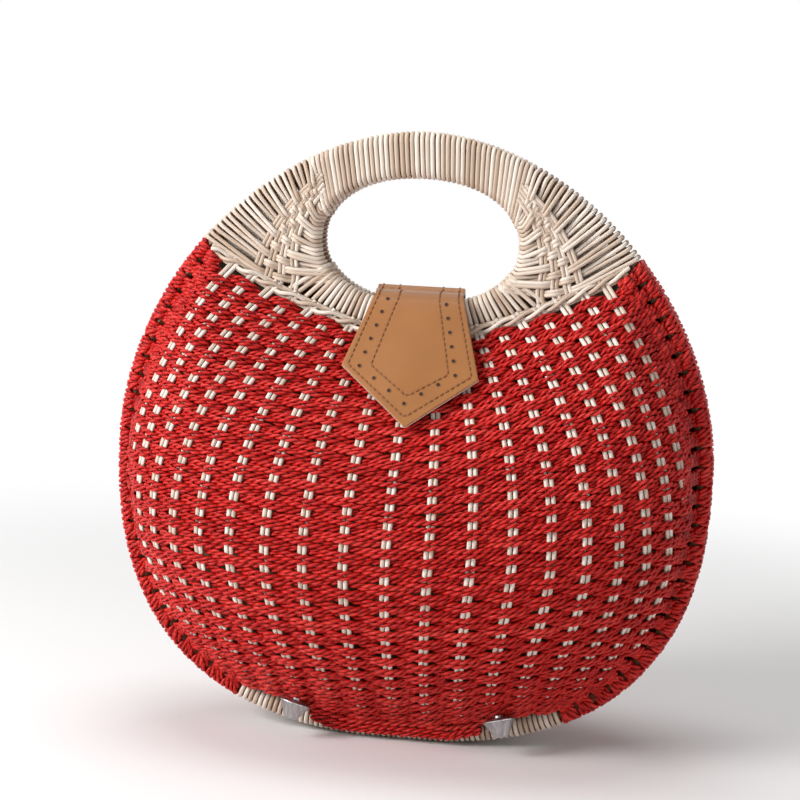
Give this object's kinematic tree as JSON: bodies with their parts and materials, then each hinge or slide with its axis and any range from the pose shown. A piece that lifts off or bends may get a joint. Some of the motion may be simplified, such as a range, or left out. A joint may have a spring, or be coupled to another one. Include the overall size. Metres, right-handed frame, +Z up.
{
  "type": "round clamshell straw handbag",
  "caption": "Round two-shell straw handbag in red cord and natural reed, with a wrapped top handle and a snap-down leather flap.",
  "frame": {"origin": "on the floor, under the middle of the closed bag", "axes": "+Z up through the handle, -Y out of the front half with the flap, +X across the front to the viewer's right"},
  "size_m": [0.2998, 0.1444, 0.304],
  "materials": {
    "red_cord": "matte twisted cord",
    "natural_reed": "raw satin reed",
    "tan_leather": "smooth satin",
    "khaki_cloth": "matte weave",
    "polished_metal": "polished"
  },
  "bodies": {
    "back_shell": {"back_rim_hoop": "natural_reed", "back_hand_ring": "natural_reed", "back_rim_wrap_left": "red_cord", "back_rim_wrap_right": "red_cord", "back_shoulder_wrap_left": "natural_reed", "back_shoulder_wrap_right": "natural_reed", "back_base_wrap_left": "natural_reed", "back_base_wrap_right": "natural_reed", "back_handle_grip": "natural_reed", "back_ring_wrap": "natural_reed", "back_shoulder_panel_left": "natural_reed", "back_shoulder_panel_right": "natural_reed", "back_weave": "red_cord", "back_stake_fan": "natural_reed", "back_lining": "khaki_cloth", "back_foot_left": "polished_metal", "back_foot_right": "polished_metal", "bottom_binding": "natural_reed", "flap_strap": "tan_leather", "gusset_left": "khaki_cloth", "gusset_right": "khaki_cloth"},
    "front_shell": {"front_rim_hoop": "natural_reed", "front_hand_ring": "natural_reed", "front_rim_wrap_left": "red_cord", "front_rim_wrap_right": "red_cord", "front_shoulder_wrap_left": "natural_reed", "front_shoulder_wrap_right": "natural_reed", "front_base_wrap_left": "natural_reed", "front_base_wrap_right": "natural_reed", "front_handle_grip": "natural_reed", "front_ring_wrap": "natural_reed", "front_shoulder_panel_left": "natural_reed", "front_shoulder_panel_right": "natural_reed", "front_weave": "red_cord", "front_stake_fan": "natural_reed", "front_lining": "khaki_cloth", "front_foot_left": "polished_metal", "front_foot_right": "polished_metal", "snap_socket": "polished_metal"},
    "flap": {"flap_leather": "tan_leather", "snap_male": "polished_metal"}
  },
  "joints": [
    {"name": "shell_open", "type": "hinge", "parent": "back_shell", "child": "front_shell", "pos_m": [0, -0.0067, 0.0055], "axis": [1, 0, 0], "range_deg": [0, 12]},
    {"name": "flap_lift", "type": "hinge", "parent": "back_shell", "child": "flap", "pos_m": [0, 0, 0.22423], "axis": [-1, 0, 0], "range_deg": [0, 90]}
  ],
  "couplings": [
    {"joint": "flap_lift", "follows": "shell_open", "ratio": 7}
  ]
}
